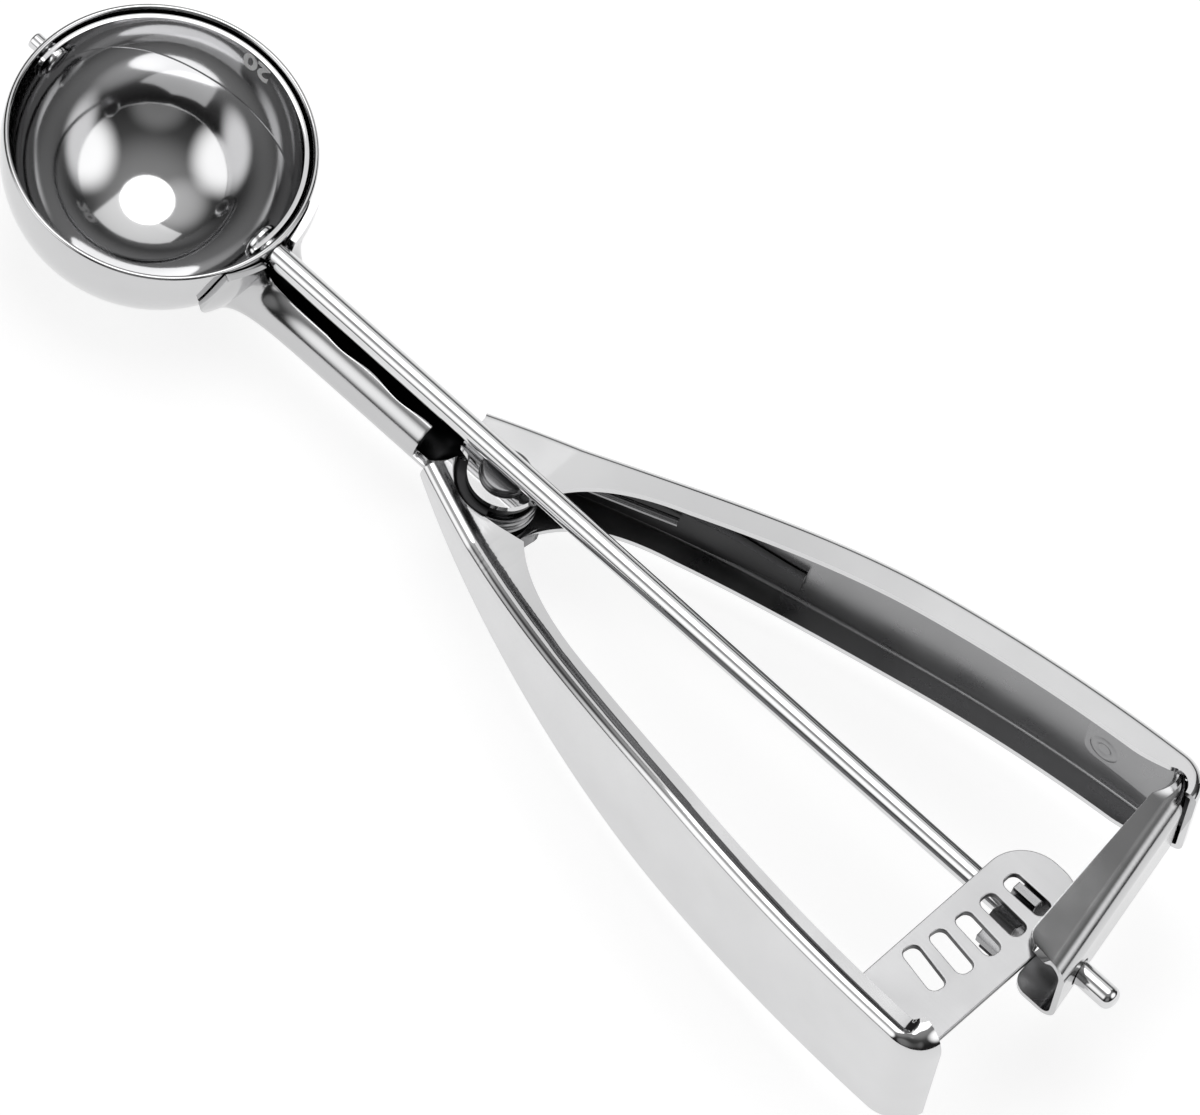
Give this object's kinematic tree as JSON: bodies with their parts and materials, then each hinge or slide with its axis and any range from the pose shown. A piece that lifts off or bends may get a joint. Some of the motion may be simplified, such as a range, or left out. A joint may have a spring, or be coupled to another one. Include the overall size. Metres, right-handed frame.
{
  "type": "ice cream scoop",
  "caption": "Squeeze-handle ice cream scoop: a hemispherical bowl with a sweeping blade, turned by a rod, pinion and slotted rack when the sprung handles close.",
  "frame": {"origin": "middle of the underside of the scoop's box, level with the bowl's lowest point", "axes": "+X along the drive rod from the bowl to the handles' ends, +Y towards the fixed handle, +Z out of the bowl's mouth"},
  "size_m": [0.191, 0.0592, 0.0296],
  "materials": {
    "bright_steel": "mirror-polished stainless steel",
    "satin_steel": "satin stainless steel, as stamped"
  },
  "bodies": {
    "frame": {"bowl": "bright_steel", "shank": "bright_steel", "fixed_handle": "bright_steel", "rear_bracket": "bright_steel", "pivot_rivet": "satin_steel", "torsion_spring": "satin_steel"},
    "trigger": {"trigger_handle": "bright_steel", "rack_plate": "satin_steel"},
    "sweep": {"drive_rod": "bright_steel", "pinion": "satin_steel", "scraper_blade": "bright_steel", "toe_pin": "bright_steel"}
  },
  "joints": [
    {"name": "trigger_squeeze", "type": "hinge", "parent": "frame", "child": "trigger", "pos_m": [-0.0112, 0, 0.0121], "axis": [0, 0, 1], "range_deg": [0, 10.12], "stiffness_Nm_per_rad": 2, "springref_deg": -6.88, "deforming": ["torsion_spring"]},
    {"name": "blade_sweep", "type": "hinge", "parent": "frame", "child": "sweep", "pos_m": [0, 0, 0.0205], "axis": [-1, 0, 0], "range_deg": [0, 160.5]}
  ],
  "couplings": [
    {"joint": "blade_sweep", "follows": "trigger_squeeze", "ratio": 15.849}
  ]
}
